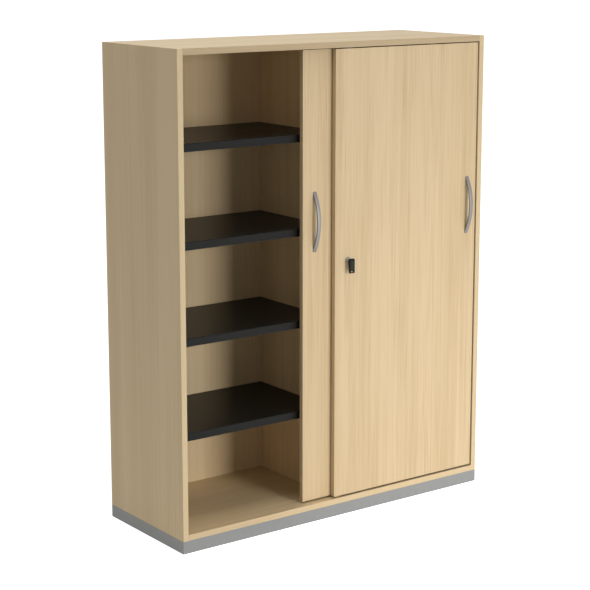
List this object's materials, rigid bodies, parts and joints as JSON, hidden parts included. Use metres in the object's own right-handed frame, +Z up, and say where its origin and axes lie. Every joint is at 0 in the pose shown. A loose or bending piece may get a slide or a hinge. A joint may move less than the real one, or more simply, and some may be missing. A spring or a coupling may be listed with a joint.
{
  "type": "sliding door cabinet",
  "caption": "Office cabinet: board carcass on a flush steel plinth, two overlapping sliding doors hung from a hidden roller track, bow handles, push lock with folding key, folded steel shelves",
  "frame": {"origin": "bottom centre of the bounding box, on the floor under the plinth", "axes": "+X to the right seen from the front, +Y towards the back of the cabinet, +Z up"},
  "size_m": [1.2, 0.457, 1.538],
  "materials": {
    "oak_board": "light oak pattern melamine with a fine upright grain, satin",
    "grey_paint": "light grey powder coat, satin",
    "black_paint": "near-black powder coat, satin",
    "bright_steel": "zinc-plated or nickel-plated steel",
    "satin_metal": "satin nickel plated die casting",
    "aluminium": "plain extruded aluminium",
    "white_nylon": "natural nylon",
    "black_plastic": "black moulded plastic, slightly glossy"
  },
  "bodies": {
    "carcass": {"left_side_panel": "oak_board", "right_side_panel": "oak_board", "top_panel": "oak_board", "bottom_panel": "oak_board", "back_panel": "oak_board", "centre_partition": "oak_board", "plinth_frame": "grey_paint", "door_track": "aluminium", "door_guide": "black_plastic", "left_shelf_1": "black_paint", "left_shelf_2": "black_paint", "left_shelf_3": "black_paint", "left_shelf_4": "black_paint", "right_shelf_1": "black_paint", "right_shelf_2": "black_paint", "right_shelf_3": "black_paint", "right_shelf_4": "black_paint", "left_pin_1_front": "bright_steel", "right_pin_1_front": "bright_steel", "centre_pin_1_front": "bright_steel", "left_pin_1_back": "bright_steel", "right_pin_1_back": "bright_steel", "centre_pin_1_back": "bright_steel", "left_pin_2_front": "bright_steel", "right_pin_2_front": "bright_steel", "centre_pin_2_front": "bright_steel", "left_pin_2_back": "bright_steel", "right_pin_2_back": "bright_steel", "centre_pin_2_back": "bright_steel", "left_pin_3_front": "bright_steel", "right_pin_3_front": "bright_steel", "centre_pin_3_front": "bright_steel", "left_pin_3_back": "bright_steel", "right_pin_3_back": "bright_steel", "centre_pin_3_back": "bright_steel", "left_pin_4_front": "bright_steel", "right_pin_4_front": "bright_steel", "centre_pin_4_front": "bright_steel", "left_pin_4_back": "bright_steel", "right_pin_4_back": "bright_steel", "centre_pin_4_back": "bright_steel"},
    "left_door": {"left_door_panel": "oak_board", "left_door_handle": "satin_metal", "left_door_hanger_1": "bright_steel", "left_door_hanger_2": "bright_steel"},
    "right_door": {"right_door_panel": "oak_board", "right_door_handle": "satin_metal", "right_door_hanger_1": "bright_steel", "right_door_hanger_2": "bright_steel", "lock_sleeve": "bright_steel"},
    "left_door_roller_1": {"left_door_roller_1": "white_nylon"},
    "left_door_roller_2": {"left_door_roller_2": "white_nylon"},
    "right_door_roller_1": {"right_door_roller_1": "white_nylon"},
    "right_door_roller_2": {"right_door_roller_2": "white_nylon"},
    "lock_barrel": {"lock_barrel": "bright_steel"},
    "lock_plug": {"lock_plug": "bright_steel"},
    "key": {"key_blade": "bright_steel"},
    "key_grip": {"key_grip": "black_plastic"}
  },
  "joints": [
    {"name": "left_door_slide", "type": "slide", "parent": "carcass", "child": "left_door", "axis": [1, 0, 0], "range_m": [-0.447, 0]},
    {"name": "right_door_slide", "type": "slide", "parent": "carcass", "child": "right_door", "axis": [1, 0, 0], "range_m": [-0.055, 0]},
    {"name": "left_door_roller_1_spin", "type": "hinge", "parent": "left_door", "child": "left_door_roller_1", "pos_m": [-0.069, -0.1725, 1.525], "axis": [0, 1, 0], "range_deg": [-5691.4, 0]},
    {"name": "left_door_roller_2_spin", "type": "hinge", "parent": "left_door", "child": "left_door_roller_2", "pos_m": [0.405, -0.1725, 1.525], "axis": [0, 1, 0], "range_deg": [-5691.4, 0]},
    {"name": "right_door_roller_1_spin", "type": "hinge", "parent": "right_door", "child": "right_door_roller_1", "pos_m": [0.042, -0.1945, 1.525], "axis": [0, 1, 0], "range_deg": [-700.3, 0]},
    {"name": "right_door_roller_2_spin", "type": "hinge", "parent": "right_door", "child": "right_door_roller_2", "pos_m": [0.516, -0.1945, 1.525], "axis": [0, 1, 0], "range_deg": [-700.3, 0]},
    {"name": "lock_push", "type": "slide", "parent": "right_door", "child": "lock_barrel", "axis": [0, 1, 0], "range_m": [0, 0.0095], "stiffness_N_per_m": 150, "springref_m": -0.004},
    {"name": "key_turn", "type": "hinge", "parent": "lock_barrel", "child": "lock_plug", "pos_m": [0.034, -0.2125, 0.846], "axis": [0, 1, 0], "range_deg": [0, 90]},
    {"name": "key_withdraw", "type": "slide", "parent": "lock_plug", "child": "key", "axis": [0, -1, 0], "range_m": [0, 0.016]},
    {"name": "key_grip_fold", "type": "hinge", "parent": "key", "child": "key_grip", "pos_m": [0.034, -0.2195, 0.846], "axis": [-1, 0, 0], "range_deg": [0, 90]}
  ],
  "couplings": [
    {"joint": "left_door_roller_1_spin", "follows": "left_door_slide", "rad_per_m": 222.22},
    {"joint": "left_door_roller_2_spin", "follows": "left_door_slide", "rad_per_m": 222.22},
    {"joint": "right_door_roller_1_spin", "follows": "right_door_slide", "rad_per_m": 222.22},
    {"joint": "right_door_roller_2_spin", "follows": "right_door_slide", "rad_per_m": 222.22}
  ]
}
